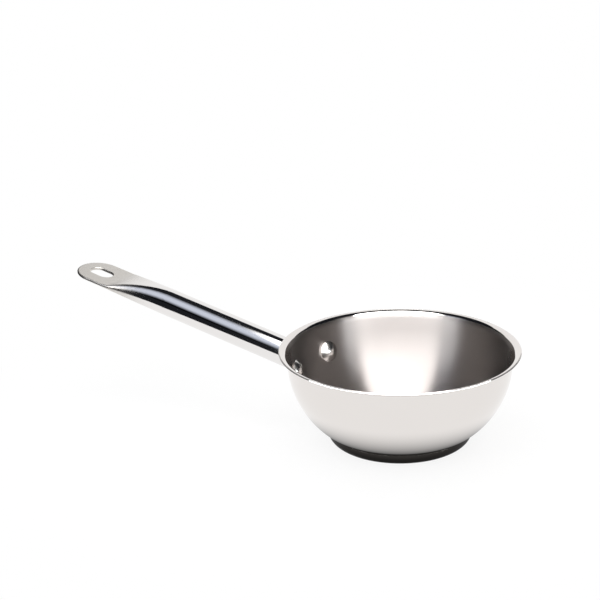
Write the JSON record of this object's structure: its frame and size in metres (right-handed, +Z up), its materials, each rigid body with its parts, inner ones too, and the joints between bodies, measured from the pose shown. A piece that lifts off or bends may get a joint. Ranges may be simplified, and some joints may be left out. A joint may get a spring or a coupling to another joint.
{
  "type": "saucier pan",
  "caption": "Small round-sided saucepan with a rolled pouring rim, a thick clad base and a long tubular handle pressed flat at its end, where a slot lets it hang.",
  "frame": {"origin": "on the pan's axis, at the underside of its base, where it rests on the hob", "axes": "+Z up along the pan's axis, -X out along the handle, Y across the handle"},
  "size_m": [0.372, 0.1712, 0.0881],
  "materials": {
    "pan_steel": "polished outside and on the rim, fine circular brushing inside",
    "cap_steel": "polished",
    "core_aluminium": "plain rolled",
    "bracket_steel": "polished",
    "handle_steel": "mirror polished tube with a satin flat end",
    "rivet_steel": "polished"
  },
  "bodies": {
    "root": {"pan_body": "pan_steel", "base_cap": "cap_steel", "heat_spreader_disc": "core_aluminium", "handle_bracket": "bracket_steel", "handle_tube": "handle_steel", "handle_rivets": "rivet_steel"}
  },
  "joints": []
}
